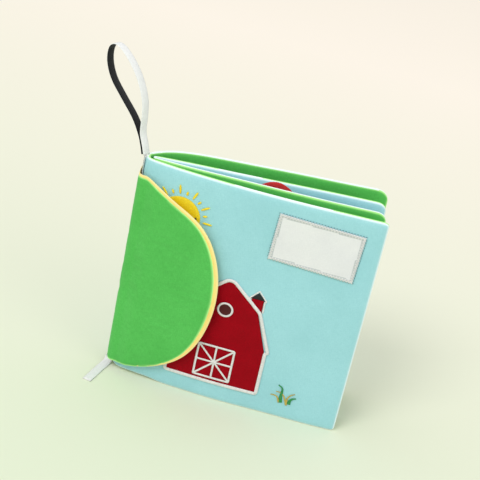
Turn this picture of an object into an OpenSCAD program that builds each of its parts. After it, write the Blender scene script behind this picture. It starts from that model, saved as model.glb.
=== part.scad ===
// Cloth activity book that stands on its lower edges, a little fanned.
// +X runs from the spine to the fore-edge, the front cover faces -Y, +Z is up.
// The origin is the middle of the spine lining's foot.

/* [Book] */
// Width of a cover, from the back of the spine to the fore-edge
cover_w = 160; // [140:1:200]
// Height of the covers and pages
cover_h = 160; // [150:1:190]
// Thickness of a padded cover in its middle
cover_t = 4.4; // [3.2:0.1:5]
// Thickness of a padded page in its middle
page_t = 4; // [3:0.1:4.4]
// Thickness of a cover or page along its sewn edge
edge_t = 2.2; // [1.4:0.1:2.6]
// Width of the rounded roll that runs round each sewn edge
edge_roll = 9; // [5:0.5:14]
// Radius of the sewn corners at the fore-edge
corner_r = 6; // [3:0.5:14]
// How much shorter the pages are than the covers at the fore-edge
page_inset = 1.5; // [0:0.5:6]

/* [Spine] */
// Depth of the spine across both covers
spine_d = 12.6; // [12:0.1:15]
// Thickness of the outer cloth on the spine
spine_cloth = 1.9; // [1:0.1:2.4]
// Thickness of the lining on the spine
spine_lining_t = 1.4; // [0.8:0.1:2]
// Height of the rounded lower corner at the spine
heel_r = 5; // [3:0.5:8]
// Gap that the covers keep from the spine cloth
hinge_gap = 0.9; // [0.7:0.1:1.4]

/* [Fan] */
// How far the front cover's fore-edge stands out from the middle
front_fan = 25; // [18:0.5:34]
// How far the front cover bellies out beside the spine
front_belly = 13; // [8:0.5:16]
// How far the back cover's fore-edge stands out from the middle
back_fan = 25; // [18:0.5:34]
// How far the back cover bellies out beside the spine
back_belly = 13; // [8:0.5:15]
// How far the front page's fore-edge stands out from the middle
front_page_fan = 12; // [8:0.5:13]
// How far the back page's fore-edge stands out from the middle
back_page_fan = 6.5; // [4:0.5:12]

/* [Flap] */
// Reach of the rounded flap over the front cover
flap_reach = 62; // [40:1:90]
// Height of the flap along the spine
flap_h = 146; // [100:1:148]
// Thickness of the flap
flap_t = 2.6; // [1.8:0.1:3.4]
// Thickness of the flap's band round the spine
band_t = 1.5; // [1:0.1:1.8]
// How far the flap's free edge stands off the cover, besides the pictures under it
flap_lift = 3.5; // [0:0.5:8]
// Width of the lining that rolls out over the flap's edge
flap_piping = 3.4; // [2:0.2:6]

/* [Ribbon] */
// Width of the woven ribbon
ribbon_w = 6; // [4:0.5:9]
// Thickness of the ribbon
ribbon_t = 0.8; // [0.6:0.1:1.2]
// Turn of the hanging loop away from the covers' plane
loop_yaw = 35; // [0:5:60]
// Height of the hanging loop above the covers
loop_rise = 62; // [45:1:75]
// Length of the ribbon's free end on the ground
tail_length = 31; // [15:1:34]

/* [Sewn pictures] */
// Thickness of each sewn patch
patch_t = 0.7; // [0.4:0.1:1.2]
// Width of the raised stitching round a patch
stitch_w = 2; // [1:0.1:3]
// Half of the barn's width
barn_half = 31; // [20:0.5:34]
// Height of the barn's side walls
barn_wall_h = 33; // [20:0.5:40]
// Height of the barn's roof above its walls
barn_roof_h = 47; // [30:0.5:52]
// Width and height of the barn door
door_w = 26; // [14:0.5:32]
// Radius of the round barn window
window_r = 5.4; // [3:0.1:8]
// Radius of the sun
sun_r = 13.6; // [8:0.2:16]
// Number of stitched rays round the sun
sun_ray_count = 22; // [8:1:30]
// Width of the bare label patch
label_w = 56; // [30:1:60]
// Height of the bare label patch
label_h = 33.5; // [20:0.5:40]
// Radius of the round patch on the inner page
disc_r = 16; // [8:0.5:24]

/* [Hidden] */

$fn = 48;
blue = [0.62, 0.83, 0.85];
green = [0.38, 0.76, 0.37];
yellow = [0.99, 0.87, 0.48];
red = [0.63, 0.02, 0.08];
white = [0.93, 0.93, 0.92];

cols = 14;          // stations along a cover's width
rows = 9;           // stations up a cover's height
fold_steps = 5;     // stations round the pages' fold
seat = 0.3;         // gap between a soft piece and what it lies against
skin = 0.05;        // gap behind a sewn patch
hinge_x = spine_lining_t / 2 + hinge_gap;   // where both covers start
spine_x = -spine_lining_t / 2 - spine_cloth - 0.1;   // outer face of the spine
fore_x = cover_w + spine_x;                 // fore-edge of the covers
leaf_edge_y = spine_d / 2 - edge_t / 2;     // middle of a cover beside the spine
fold_r = edge_t / 2 + 0.3;                  // middle line of the pages' fold
fold_x = spine_lining_t / 2 + 0.1 + fold_r + edge_t / 2;   // centre of that fold
page_fore_x = fore_x - page_inset;
tail_clear = ribbon_t + 0.4;                // the front cover passes over the ribbon's end

// Even steps from 0 to 1, drawn closer together at both ends
function spaced(i, n) = i / n - 0.75 * sin(360 * i / n) / (2 * PI);
function smooth(t) = let (c = max(0, min(1, t))) c * c * (3 - 2 * c);

// Middle line of a leaf in plan: side is -1 in front and 1 behind
function leaf_y(x, side, near, belly, run, fan, x0, x1) =
    side * (near + belly * (1 - exp(-(x - x0) / run))
        + (fan - near - belly) * (x - x0) / (x1 - x0));
function front_y(x) = leaf_y(x, -1, leaf_edge_y, front_belly, 50, front_fan, hinge_x, fore_x);
function back_y(x) = leaf_y(x, 1, leaf_edge_y, back_belly, 12, back_fan, hinge_x, fore_x);
function front_page_y(x) =
    leaf_y(x, -1, fold_r, 0.6 * front_page_fan, 60, front_page_fan, fold_x, page_fore_x);
function back_page_y(x) =
    leaf_y(x, 1, fold_r, 0.2 * back_page_fan, 30, back_page_fan, fold_x, page_fore_x);

function cover_path(line) = [for (i = [0 : cols])
    let (x = hinge_x + (fore_x - hinge_x) * spaced(i, cols)) [x, line(x)]];
cover_front = cover_path(function(x) front_y(x));
cover_back = cover_path(function(x) back_y(x));

// The folded page sheet runs from the front page's fore-edge, round the fold, to the back page's
page_steps = [for (i = [0 : cols]) fold_x + (page_fore_x - fold_x) * spaced(i, cols)];
page_path = concat(
    [for (i = [cols : -1 : 0]) [page_steps[i], front_page_y(page_steps[i])]],
    [for (i = [1 : fold_steps - 1]) let (a = 270 - 180 * i / fold_steps)
        [fold_x + fold_r * cos(a), fold_r * sin(a)]],
    [for (i = [0 : cols]) [page_steps[i], back_page_y(page_steps[i])]]);

// Unit normal of a plan path, to the right of its direction
function path_normal(path, i) =
    let (a = path[max(i - 1, 0)], b = path[min(i + 1, len(path) - 1)], d = (b - a) / norm(b - a))
        [d[1], -d[0]];

// Rounded corner at the fore-edge, and the covers' lift near the spine's foot
function corner_cut(x, x1) =
    x < x1 - corner_r ? 0 : corner_r - sqrt(max(0, corner_r ^ 2 - (x - x1 + corner_r) ^ 2));
function heel(x) = x > heel_r ? 0 : heel_r - sqrt(max(0, heel_r ^ 2 - (max(x, 0) - heel_r) ^ 2));
function front_low(x) =
    max(corner_cut(x, fore_x), tail_clear * (1 - smooth((x - 23) / 14)), heel(x - hinge_x));
function back_low(x) = max(corner_cut(x, fore_x), heel(x - hinge_x));
function cover_high(x) = cover_h - corner_cut(x, fore_x);
function page_low(x) = corner_cut(x, page_fore_x);
function page_high(x) = cover_h - 0.5 - corner_cut(x, page_fore_x);

// Half thickness of a padded leaf at a distance d from its sewn edge
function puff(d, mid) =
    edge_t / 2 + (mid - edge_t) / 2 * sqrt(1 - (1 - max(0, min(1, d / edge_roll))) ^ 2);
function edge_gap(x, z, x0, x1, low, high) = min(x - x0, x1 - x, z - low, high - z);

function cover_half(x, z) =
    puff(edge_gap(x, z, hinge_x, fore_x, 0, cover_h), cover_t);
function page_half(x, z) =
    puff(edge_gap(x, z, fold_x, page_fore_x, 0, cover_h), page_t);

// Closed sheet between two offsets of a plan path. low and high give its Z limits at a station,
// near and far its two offsets at a station and height.
module sheet(path, low, high, near, far, steps = rows) {
    n = len(path);
    m = steps + 1;
    offsets = [near, far];
    points = [for (k = [0, 1]) for (i = [0 : n - 1]) for (j = [0 : steps])
        let (z = low(i) + (high(i) - low(i)) * spaced(j, steps),
            p = path[i] + offsets[k](i, z) * path_normal(path, i))
            [p[0], p[1], z]];
    function at(k, i, j) = (k * n + i) * m + j;
    function quad(a, b, c, d) = [[a, b, c], [a, c, d]];
    faces = concat(
        [for (i = [0 : n - 2]) for (j = [0 : steps - 1])
            each quad(at(0, i, j), at(0, i, j + 1), at(0, i + 1, j + 1), at(0, i + 1, j))],
        [for (i = [0 : n - 2]) for (j = [0 : steps - 1])
            each quad(at(1, i, j), at(1, i + 1, j), at(1, i + 1, j + 1), at(1, i, j + 1))],
        [for (i = [0 : n - 2]) for (e = [[0, 0, 1], [steps, 1, 0]])
            each quad(at(e[1], i, e[0]), at(e[1], i + 1, e[0]),
                at(e[2], i + 1, e[0]), at(e[2], i, e[0]))],
        [for (j = [0 : steps - 1]) for (e = [[0, 1, 0], [n - 1, 0, 1]])
            each quad(at(e[1], e[0], j), at(e[1], e[0], j + 1),
                at(e[2], e[0], j + 1), at(e[2], e[0], j))]);
    polyhedron(points, faces, convexity = 6);
}

// Half of a padded cover: side 1 is the outer cloth of the front, or the lining of the back
module cover_half_sheet(path, low, side) {
    sheet(path, function(i) low(path[i][0]), function(i) cover_high(path[i][0]),
        function(i, z) side > 0 ? cover_half(path[i][0], z) : 0,
        function(i, z) side > 0 ? 0 : -cover_half(path[i][0], z));
}

module front_cover() {
    color(blue) cover_half_sheet(cover_front, function(x) front_low(x), 1);
}

module front_cover_lining() {
    color(green) cover_half_sheet(cover_front, function(x) front_low(x), -1);
}

module back_cover() {
    color(blue) cover_half_sheet(cover_back, function(x) back_low(x), -1);
}

module back_cover_lining() {
    color(green) cover_half_sheet(cover_back, function(x) back_low(x), 1);
}

// The inner pages are one padded sheet, folded at the spine, with a facing on its inside
module page_sheet(near, far) {
    sheet(page_path,
        function(i) page_low(page_path[i][0]),
        function(i) page_high(page_path[i][0]),
        function(i, z) near * page_half(page_path[i][0], z),
        function(i, z) far * page_half(page_path[i][0], z));
}

module pages() {
    color(green) page_sheet(0, -1);
}

module pages_facing() {
    color(blue) page_sheet(1, 0);
}

// Outer cloth of the spine, rounded over its two long corners
module spine() {
    r = spine_cloth * 0.9;
    low = heel_r - 1;
    half = spine_d / 2;
    inner_x = spine_x + spine_cloth;
    color(blue) translate([0, 0, low]) linear_extrude(cover_h - 0.5 - low) polygon(concat(
        [[inner_x, -half]],
        [for (a = [270 : -15 : 180]) [spine_x + r + r * cos(a), -half + r + r * sin(a)]],
        [for (a = [180 : -15 : 90]) [spine_x + r + r * cos(a), half - r + r * sin(a)]],
        [[inner_x, half]]));
}

module spine_lining() {
    w = spine_d - 2.6;
    color(green) translate([-spine_lining_t / 2, -w / 2, 0])
        cube([spine_lining_t, w, cover_h - 0.5]);
}

// Plan outline of a layer between two offsets of a path
function plan_layer(path, from, to) = concat(
    [for (i = [0 : len(path) - 1]) path[i] + from * path_normal(path, i)],
    [for (i = [len(path) - 1 : -1 : 0]) path[i] + to * path_normal(path, i)]);

// A sewn picture: an outline drawn in X and Z, laid on a leaf's face as a thin layer
module sewn_on(path, face, thickness) {
    intersection() {
        linear_extrude(cover_h) polygon(plan_layer(path, face, face + thickness));
        translate([0, 2 * back_fan, 0]) rotate([90, 0, 0])
            linear_extrude(2 * back_fan + front_fan + 20) children();
    }
}

// Level 0 lies on the front cover's cloth, level 1 on a patch
module on_front(level) {
    sewn_on(cover_front, cover_t / 2 + skin + level * (patch_t + skin), patch_t) children();
}

module page_disc() {
    back_page = [for (x = page_steps) [x, back_page_y(x)]];
    color([0.8, 0.18, 0.18]) sewn_on(back_page, page_t / 2 + skin, patch_t)
        translate([fore_x / 2, cover_h - 1 - disc_r]) circle(disc_r);
}

// The flap's plan line: down the back of the spine, round its corner and over the front cover
ribbon_x = spine_x - 0.1 - ribbon_t / 2;
band_x = ribbon_x - ribbon_t / 2 - 0.2 - band_t / 2;
turn_r = 3.4;
turn_x = band_x + turn_r;
flap_mid_z = cover_h / 2 - 1;
function flap_stand(x) = cover_t / 2 + flap_t / 2 + seat
    + (2 * patch_t + 0.4) * smooth(x / 10) + flap_lift * (max(0, x) / flap_reach) ^ 2;
function flap_y(x) = front_y(max(x, hinge_x)) - flap_stand(x);
turn_y = flap_y(turn_x) + turn_r;
function turn_point(a) = [turn_x + turn_r * cos(a), turn_y + turn_r * sin(a)];
band_path = concat(
    [for (y = [spine_d / 2 - 0.8, 0]) [band_x, y]],
    [for (a = [180 : 6 : 204]) turn_point(a)]);
function flap_path(reach) = concat(
    [for (a = [216 : 9 : 261]) turn_point(a)],
    [for (i = [0 : cols]) let (x = turn_x + (reach - turn_x) * spaced(i, cols)) [x, flap_y(x)]]);

// Half height of the flap's rounded outline at x
function flap_half_h(x, reach, h) = max(3, h / 2 * sqrt(max(0, 1 - (max(0, x) / reach) ^ 2.1)));
function flap_half_t(x, z, reach, h) =
    let (d = min(reach - x, flap_half_h(x, reach, h) - abs(z - flap_mid_z)))
        0.7 + (flap_t / 2 - 0.7) * sqrt(1 - (1 - max(0, min(1, d / 5))) ^ 2);

module flap_layer(reach, h, near, far) {
    path = flap_path(reach);
    sheet(path,
        function(i) flap_mid_z - flap_half_h(path[i][0], reach, h),
        function(i) flap_mid_z + flap_half_h(path[i][0], reach, h),
        function(i, z) near * flap_half_t(path[i][0], z, reach, h),
        function(i, z) far * flap_half_t(path[i][0], z, reach, h) + 2 * skin * near);
}

module flap() {
    color(green) flap_layer(flap_reach - flap_piping, flap_h - 2, 1, 0);
}

module flap_lining() {
    color(yellow) flap_layer(flap_reach, flap_h, 0, -1);
}

module flap_band() {
    color(green) translate([0, 0, flap_mid_z - flap_h / 2]) linear_extrude(flap_h)
        polygon(plan_layer(band_path, band_t / 2, -band_t / 2));
}

// Smooth line through chosen points
function blend_point(a, b, c, d, t) = 0.5 * (2 * b + (c - a) * t
    + (2 * a - 5 * b + 4 * c - d) * t ^ 2 + (3 * b - a - 3 * c + d) * t ^ 3);
function smooth_line(p, steps) = let (n = len(p)) concat(
    [for (i = [0 : n - 2]) for (k = [0 : steps - 1])
        blend_point(p[max(i - 1, 0)], p[i], p[i + 1], p[min(i + 2, n - 1)], k / steps)],
    [p[n - 1]]);

// Middle line of the hanging loop in its own plane, as shares of its rise
loop_line = [[0.012, 0], [-0.03, 0.1], [-0.085, 0.22], [-0.1, 0.4], [-0.14, 0.58], [-0.27, 0.78],
    [-0.45, 0.93], [-0.6, 0.99], [-0.69, 0.93], [-0.69, 0.78], [-0.6, 0.62], [-0.43, 0.48],
    [-0.23, 0.33], [-0.11, 0.19], [-0.05, 0.08], [-0.018, 0]];

module ribbon_loop() {
    line = smooth_line(loop_line * loop_rise, 3);
    color(white) translate([ribbon_x, 0, cover_h - 0.2]) rotate([90, 0, -loop_yaw])
        linear_extrude(ribbon_w, center = true)
            polygon(plan_layer(line, ribbon_t / 2, -ribbon_t / 2));
}

module ribbon_run() {
    color(white) translate([ribbon_x - ribbon_t / 2, -ribbon_w / 2, ribbon_t + 0.1])
        cube([ribbon_t, ribbon_w, cover_h - 0.6 - ribbon_t]);
}

module ribbon_tail() {
    color(white) translate([ribbon_x - 0.6, 0, 0]) rotate([0, 0, -108])
        translate([0, -ribbon_w / 2, 0]) cube([tail_length, ribbon_w, ribbon_t]);
}

// Label patch, bare, with a raised row of stitches round it
label_x = fore_x - 41;
label_z = cover_h - 28;
module label_outline(grow) {
    translate([label_x, label_z]) rotate(-2.7)
        square([label_w + 2 * grow, label_h + 2 * grow], center = true);
}

module label_patch() {
    color(white) on_front(0) label_outline(0);
}

module label_stitching() {
    color([0.85, 0.86, 0.86]) on_front(1) difference() {
        label_outline(0);
        label_outline(-stitch_w);
    }
}

// Barn with a two-slope roof, in its own plane from the middle of its foot
barn_x = flap_reach + 6;
barn_z = edge_roll + 6;
shoulder = [0.7 * barn_half, barn_wall_h + 0.57 * barn_roof_h];
peak = [0.07 * barn_half, barn_wall_h + 0.95 * barn_roof_h];
function both_sides(p) = concat(p, [for (i = [len(p) - 1 : -1 : 0]) [-p[i][0], p[i][1]]]);
barn_inner = both_sides([[barn_half, 0], [barn_half, barn_wall_h], shoulder, peak]);
barn_outer = both_sides([[barn_half + stitch_w, -stitch_w],
    [barn_half + stitch_w, barn_wall_h - stitch_w],
    [barn_half + 2.4 * stitch_w, barn_wall_h - 2.4 * stitch_w],
    shoulder + [1.3, 0.8] * stitch_w, peak + [0.6, 1.2] * stitch_w]);
window_z = barn_wall_h + 0.51 * barn_roof_h;
roof_slope = (peak[1] - shoulder[1]) / (peak[0] - shoulder[0]);
cupola_x = 0.63 * barn_half;
cupola_half = 0.13 * barn_half;
function roof_z(x) = shoulder[1] + roof_slope * (x - shoulder[0]) + 1.6 * stitch_w;
cupola_eave = roof_z(cupola_x) + 1.3 * cupola_half;
cupola_top = cupola_eave + 1.2 * cupola_half;

module at_barn() {
    translate([barn_x, barn_z]) children();
}

module cupola_body_outline() {
    left = cupola_x - cupola_half;
    right = cupola_x + cupola_half;
    difference() {
        polygon([[left, roof_z(right)], [right, roof_z(right)], [right, cupola_eave],
            [left, cupola_eave]]);
        polygon(barn_outer);
    }
}

module cupola_roof_outline() {
    w = 1.15 * cupola_half;
    polygon([[cupola_x - w, cupola_eave], [cupola_x + w, cupola_eave], [cupola_x, cupola_top]]);
}

module barn_wall() {
    color(red) on_front(0) at_barn() polygon(barn_inner);
}

module barn_trim() {
    color(white) on_front(0) at_barn() difference() {
        polygon(barn_outer);
        polygon(barn_inner);
    }
}

module barn_door() {
    bar = 0.8 * stitch_w;
    mid = door_w / 2;
    color(white) on_front(1) at_barn() translate([0, stitch_w]) {
        difference() {
            translate([-mid, 0]) square(door_w);
            translate([bar - mid, bar]) square(door_w - 2 * bar);
        }
        translate([-bar / 2, 0]) square([bar, door_w]);
        translate([-mid, mid - bar / 2]) square([door_w, bar]);
        for (a = [45, -45]) translate([0, mid]) rotate(a)
            square([1.38 * door_w, bar], center = true);
    }
}

module barn_window() {
    color([0.35, 0.03, 0.05]) on_front(1) at_barn() translate([0, window_z])
        circle(window_r - 0.7 * stitch_w);
}

module barn_window_ring() {
    color(white) on_front(1) at_barn() translate([0, window_z]) difference() {
        circle(window_r);
        circle(window_r - 0.7 * stitch_w);
    }
}

module cupola() {
    color(red) on_front(0) at_barn() cupola_body_outline();
}

module cupola_roof() {
    color([0.06, 0.07, 0.1]) on_front(0) at_barn() cupola_roof_outline();
}

module cupola_trim() {
    w = cupola_half + stitch_w;
    color(white) on_front(0) at_barn() difference() {
        polygon([[cupola_x - w, cupola_eave - 1], [cupola_x - 0.6 * w, roof_z(cupola_x + w)],
            [cupola_x + w, roof_z(cupola_x + w)], [cupola_x + w, cupola_eave + 0.5],
            [cupola_x, cupola_top + 1.4 * stitch_w]]);
        cupola_body_outline();
        cupola_roof_outline();
        polygon(barn_outer);
    }
}

// Sun, half under the flap, with a ring of stitched rays
sun_x = 26;
sun_z = cover_h - 32;

module sun_disc() {
    color([0.92, 0.82, 0.1]) on_front(0) translate([sun_x, sun_z]) circle(sun_r);
}

module sun_rays() {
    color([0.9, 0.8, 0.1]) on_front(0) translate([sun_x, sun_z])
        for (i = [0 : sun_ray_count - 1]) rotate(360 * i / sun_ray_count)
            translate([sun_r + 2.6, -0.5]) square([i % 2 == 0 ? 5 : 2.4, 1]);
}

// Closed eyes: a lid line with three lashes
module sun_eye() {
    color([0.05, 0.05, 0.05]) on_front(1) translate([sun_x, sun_z + 0.2 * sun_r])
        for (side = [-1, 1]) translate([side * 0.62 * sun_r, 0]) {
            difference() {
                circle(2.8);
                circle(2.1);
                translate([-4, -1]) square([8, 6]);
            }
            for (a = [-45, -90, -135]) rotate(a) translate([2.5, -0.3]) square([1.4, 0.6]);
        }
}

// A blade of grass: a tapered curve from its foot
module blade(angle, length, bend, width) {
    n = 6;
    line = [for (i = [0 : n]) let (t = i / n, a = angle + bend * t)
        length * t * [cos(a), sin(a)]];
    function wide(i) = width / 2 * (1 - 0.85 * i / n);
    polygon(concat(
        [for (i = [0 : n]) line[i] + wide(i) * path_normal(line, i)],
        [for (i = [n : -1 : 0]) line[i] - wide(i) * path_normal(line, i)]));
}

grass_x = fore_x - 38;
grass_z = edge_roll + 2;
module grass_dark_outline() {
    translate([-3.2, 0]) blade(80, 16, 30, 2.4);
    translate([3.5, 0]) blade(75, 12, -35, 2.4);
    translate([-6.5, 1]) blade(100, 6, 30, 1.8);
}

module grass_dark() {
    color([0.1, 0.6, 0.3]) on_front(0) translate([grass_x, grass_z]) grass_dark_outline();
}

module grass_light() {
    color([0.8, 0.72, 0.3]) on_front(0) translate([grass_x, grass_z]) difference() {
        union() {
            translate([-0.2, -1]) blade(105, 13, 35, 1.5);
            translate([1.2, -1]) blade(78, 13, -30, 1.5);
            translate([-5, 1.5]) blade(130, 9, 30, 1.3);
        }
        grass_dark_outline();
    }
}

spine();
spine_lining();
pages();
pages_facing();
page_disc();
front_cover();
front_cover_lining();
back_cover();
back_cover_lining();
flap_band();
flap();
flap_lining();
ribbon_loop();
ribbon_run();
ribbon_tail();
label_patch();
label_stitching();
barn_wall();
barn_trim();
barn_door();
barn_window();
barn_window_ring();
cupola();
cupola_roof();
cupola_trim();
sun_disc();
sun_rays();
sun_eye();
grass_dark();
grass_light();
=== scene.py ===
import math

import bmesh
import bpy
from mathutils import Matrix, Vector, noise
from mathutils.bvhtree import BVHTree


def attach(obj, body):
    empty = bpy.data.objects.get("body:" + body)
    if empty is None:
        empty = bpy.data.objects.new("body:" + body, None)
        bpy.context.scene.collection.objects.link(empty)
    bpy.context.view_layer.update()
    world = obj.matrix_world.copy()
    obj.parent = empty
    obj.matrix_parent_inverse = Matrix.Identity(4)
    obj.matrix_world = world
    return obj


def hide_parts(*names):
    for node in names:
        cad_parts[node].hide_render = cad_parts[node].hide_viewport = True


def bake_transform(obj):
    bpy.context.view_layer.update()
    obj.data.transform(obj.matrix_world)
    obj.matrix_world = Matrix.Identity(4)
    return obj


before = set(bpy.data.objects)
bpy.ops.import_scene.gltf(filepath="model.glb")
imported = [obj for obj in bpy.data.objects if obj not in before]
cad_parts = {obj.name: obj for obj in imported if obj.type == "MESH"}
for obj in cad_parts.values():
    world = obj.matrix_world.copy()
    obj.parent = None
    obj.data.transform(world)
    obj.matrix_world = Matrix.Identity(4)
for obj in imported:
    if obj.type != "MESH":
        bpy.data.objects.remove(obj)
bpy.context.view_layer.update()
scene = bpy.context.scene
mm = 0.001               # every size below is in millimetres


# Camera, at the photograph's angle, rolled so that the book leans to the right
cameraSetup = {
    "place": (67.6, -781.0, 516.6),
    "lookDown": 27.28,
    "roll": 12.38,
    "lens": 100.4,
    "sensor": 36.0,
}


def placeCamera(setup):
    down = math.radians(setup["lookDown"])
    roll = math.radians(setup["roll"])
    ahead = Vector((0, math.cos(down), -math.sin(down)))
    level = Vector((1, 0, 0))
    upright = level.cross(ahead)
    right = math.cos(roll) * level + math.sin(roll) * upright
    up = math.cos(roll) * upright - math.sin(roll) * level
    data = bpy.data.cameras.new("camera")
    data.sensor_width = setup["sensor"]
    data.lens = setup["lens"]
    data.clip_start = 0.05
    camera = bpy.data.objects.new("camera", data)
    scene.collection.objects.link(camera)
    turn = Matrix((right, up, -ahead)).transposed().to_4x4()
    camera.matrix_world = Matrix.Translation(Vector(setup["place"]) * mm) @ turn
    scene.camera = camera


placeCamera(cameraSetup)
print("camera placed")


# Node groups and materials
def addNode(tree, kind, feeds=None, **settings):
    node = tree.nodes.new(kind)
    for name, value in settings.items():
        setattr(node, name, value)
    for name, value in (feeds or {}).items():
        if isinstance(value, bpy.types.NodeSocket):
            tree.links.new(value, node.inputs[name])
        else:
            node.inputs[name].default_value = value
    return node


def newGroup(name, inputs, outputs):
    group = bpy.data.node_groups.new(name, "ShaderNodeTree")
    for label, kind, value in inputs:
        socket = group.interface.new_socket(label, in_out="INPUT", socket_type=kind)
        if value is not None:
            socket.default_value = value
    for label, kind in outputs:
        group.interface.new_socket(label, in_out="OUTPUT", socket_type=kind)
    return group, group.nodes.new("NodeGroupInput"), group.nodes.new("NodeGroupOutput")


def calc(tree, operation, first, second=None, third=None):
    feeds = {0: first}
    if second is not None:
        feeds[1] = second
    if third is not None:
        feeds[2] = third
    return addNode(tree, "ShaderNodeMath", feeds, operation=operation).outputs[0]


def mixColours(tree, factor, first, second):
    node = addNode(tree, "ShaderNodeMix", data_type="RGBA")
    for index, value in ((0, factor), (6, first), (7, second)):
        if isinstance(value, bpy.types.NodeSocket):
            tree.links.new(value, node.inputs[index])
        else:
            node.inputs[index].default_value = value
    return node.outputs[2]


def makeWeaveGroup():
    # Plain weave on UV metres: threads over and under, with uneven thick and thin threads
    group, given, result = newGroup(
        "plainWeave",
        [("Vector", "NodeSocketVector", None), ("Thread", "NodeSocketFloat", 0.0005)],
        [("Height", "NodeSocketFloat"), ("Shade", "NodeSocketFloat")],
    )
    parts = addNode(group, "ShaderNodeSeparateXYZ", {0: given.outputs["Vector"]})
    waves = []
    for axis in (0, 1):
        turns = calc(group, "DIVIDE", parts.outputs[axis], given.outputs["Thread"])
        waves.append(calc(group, "SINE", calc(group, "MULTIPLY", turns, math.pi)))
    height = calc(group, "MULTIPLY", waves[0], waves[1])
    streaks = []
    for stretch in ((300, 2600, 1), (2600, 300, 1)):
        spread = addNode(group, "ShaderNodeVectorMath",
                         {0: given.outputs["Vector"], 1: stretch}, operation="MULTIPLY")
        streak = addNode(group, "ShaderNodeTexNoise",
                         {"Vector": spread.outputs[0], "Scale": 1.0, "Detail": 1.0})
        streaks.append(streak.outputs["Fac"])
    uneven = calc(group, "ADD", streaks[0], streaks[1])
    shade = calc(group, "MULTIPLY_ADD", height, 0.12, uneven)
    group.links.new(calc(group, "MULTIPLY_ADD", uneven, 0.5, height), result.inputs["Height"])
    group.links.new(calc(group, "MULTIPLY", shade, 0.5), result.inputs["Shade"])
    return group


def makeStitchGroup():
    # Satin stitches on UV metres: threads lie across, one beside the other along U
    group, given, result = newGroup(
        "satinStitch",
        [("Vector", "NodeSocketVector", None), ("Thread", "NodeSocketFloat", 0.0004)],
        [("Height", "NodeSocketFloat"), ("Shade", "NodeSocketFloat")],
    )
    parts = addNode(group, "ShaderNodeSeparateXYZ", {0: given.outputs["Vector"]})
    loose = addNode(group, "ShaderNodeTexNoise",
                    {"Vector": given.outputs["Vector"], "Scale": 900.0, "Detail": 1.0})
    along = calc(group, "MULTIPLY_ADD", loose.outputs["Fac"], 0.0003, parts.outputs[0])
    turns = calc(group, "DIVIDE", along, given.outputs["Thread"])
    ridge = calc(group, "ABSOLUTE", calc(group, "SINE", calc(group, "MULTIPLY", turns, math.pi)))
    group.links.new(ridge, result.inputs["Height"])
    # Darker in the grooves between threads: painted shade, mixed with random thread tone
    shade = calc(group, "MULTIPLY_ADD", ridge, 0.5, calc(group, "MULTIPLY", loose.outputs["Fac"], 0.5))
    group.links.new(shade, result.inputs["Shade"])
    return group


def makeMottleGroup():
    # Broad soft variation of dye and handling, in object space
    group, given, result = newGroup(
        "softMottle",
        [("Vector", "NodeSocketVector", None), ("Size", "NodeSocketFloat", 30.0)],
        [("Fac", "NodeSocketFloat")],
    )
    cloud = addNode(group, "ShaderNodeTexNoise",
                    {"Vector": given.outputs["Vector"], "Scale": given.outputs["Size"],
                     "Detail": 3.0, "Roughness": 0.6})
    spread = addNode(group, "ShaderNodeMapRange",
                     {"Value": cloud.outputs["Fac"], "From Min": 0.35, "From Max": 0.65})
    group.links.new(spread.outputs[0], result.inputs["Fac"])
    return group


plainWeave = makeWeaveGroup()
satinStitch = makeStitchGroup()
softMottle = makeMottleGroup()


def linear(rgb):
    # sRGB 0-255 to the linear values that a socket takes
    shares = [value / 255 for value in rgb]
    return [s / 12.92 if s <= 0.04045 else ((s + 0.055) / 1.055) ** 2.4 for s in shares] + [1.0]


def startMaterial(name):
    material = bpy.data.materials.new(name)
    material.use_nodes = True
    tree = material.node_tree
    shader = tree.nodes["Principled BSDF"]
    return material, tree, shader


def makeCloth(name, look):
    # Woven cotton: weave on the piece's UV map, mottling in object space, paler along the seams as a
    # painted highlight
    material, tree, shader = startMaterial(name)
    place = addNode(tree, "ShaderNodeTexCoord")
    weave = addNode(tree, "ShaderNodeGroup", node_tree=plainWeave)
    weave.inputs["Thread"].default_value = look["thread"] * mm
    tree.links.new(place.outputs["UV"], weave.inputs["Vector"])
    mottle = addNode(tree, "ShaderNodeGroup", node_tree=softMottle)
    mottle.inputs["Size"].default_value = look["mottle"]
    tree.links.new(place.outputs["Object"], mottle.inputs["Vector"])
    base = mixColours(tree, mottle.outputs["Fac"], linear(look["colour"]), linear(look["shade"]))
    spread = addNode(tree, "ShaderNodeMapRange",
                     {"Value": weave.outputs["Shade"], "From Min": 0.3, "From Max": 0.7,
                      "To Max": look["contrast"]})
    woven = mixColours(tree, spread.outputs[0], base, linear(look["deep"]))
    # Painted highlight: near the seams (seamRim) the colour is mixed towards a pale tint, as if the
    # rolled edges caught the light
    rim = addNode(tree, "ShaderNodeAttribute", attribute_name="seamRim")
    paintedHighlightAmount = calc(tree, "MULTIPLY", rim.outputs["Fac"], look["paintedHighlightAmount"])
    paintedHighlight = mixColours(tree, paintedHighlightAmount, woven, linear(look["paintedHighlight"]))
    tree.links.new(paintedHighlight, shader.inputs["Base Color"])
    bump = addNode(tree, "ShaderNodeBump",
                   {"Height": weave.outputs["Height"], "Strength": look["bump"], "Distance": 0.00012})
    tree.links.new(bump.outputs[0], shader.inputs["Normal"])
    shader.inputs["Roughness"].default_value = 0.9
    shader.inputs["Specular IOR Level"].default_value = 0.25
    shader.inputs["Sheen Weight"].default_value = look["sheen"]
    shader.inputs["Sheen Roughness"].default_value = 0.5
    return material


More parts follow.
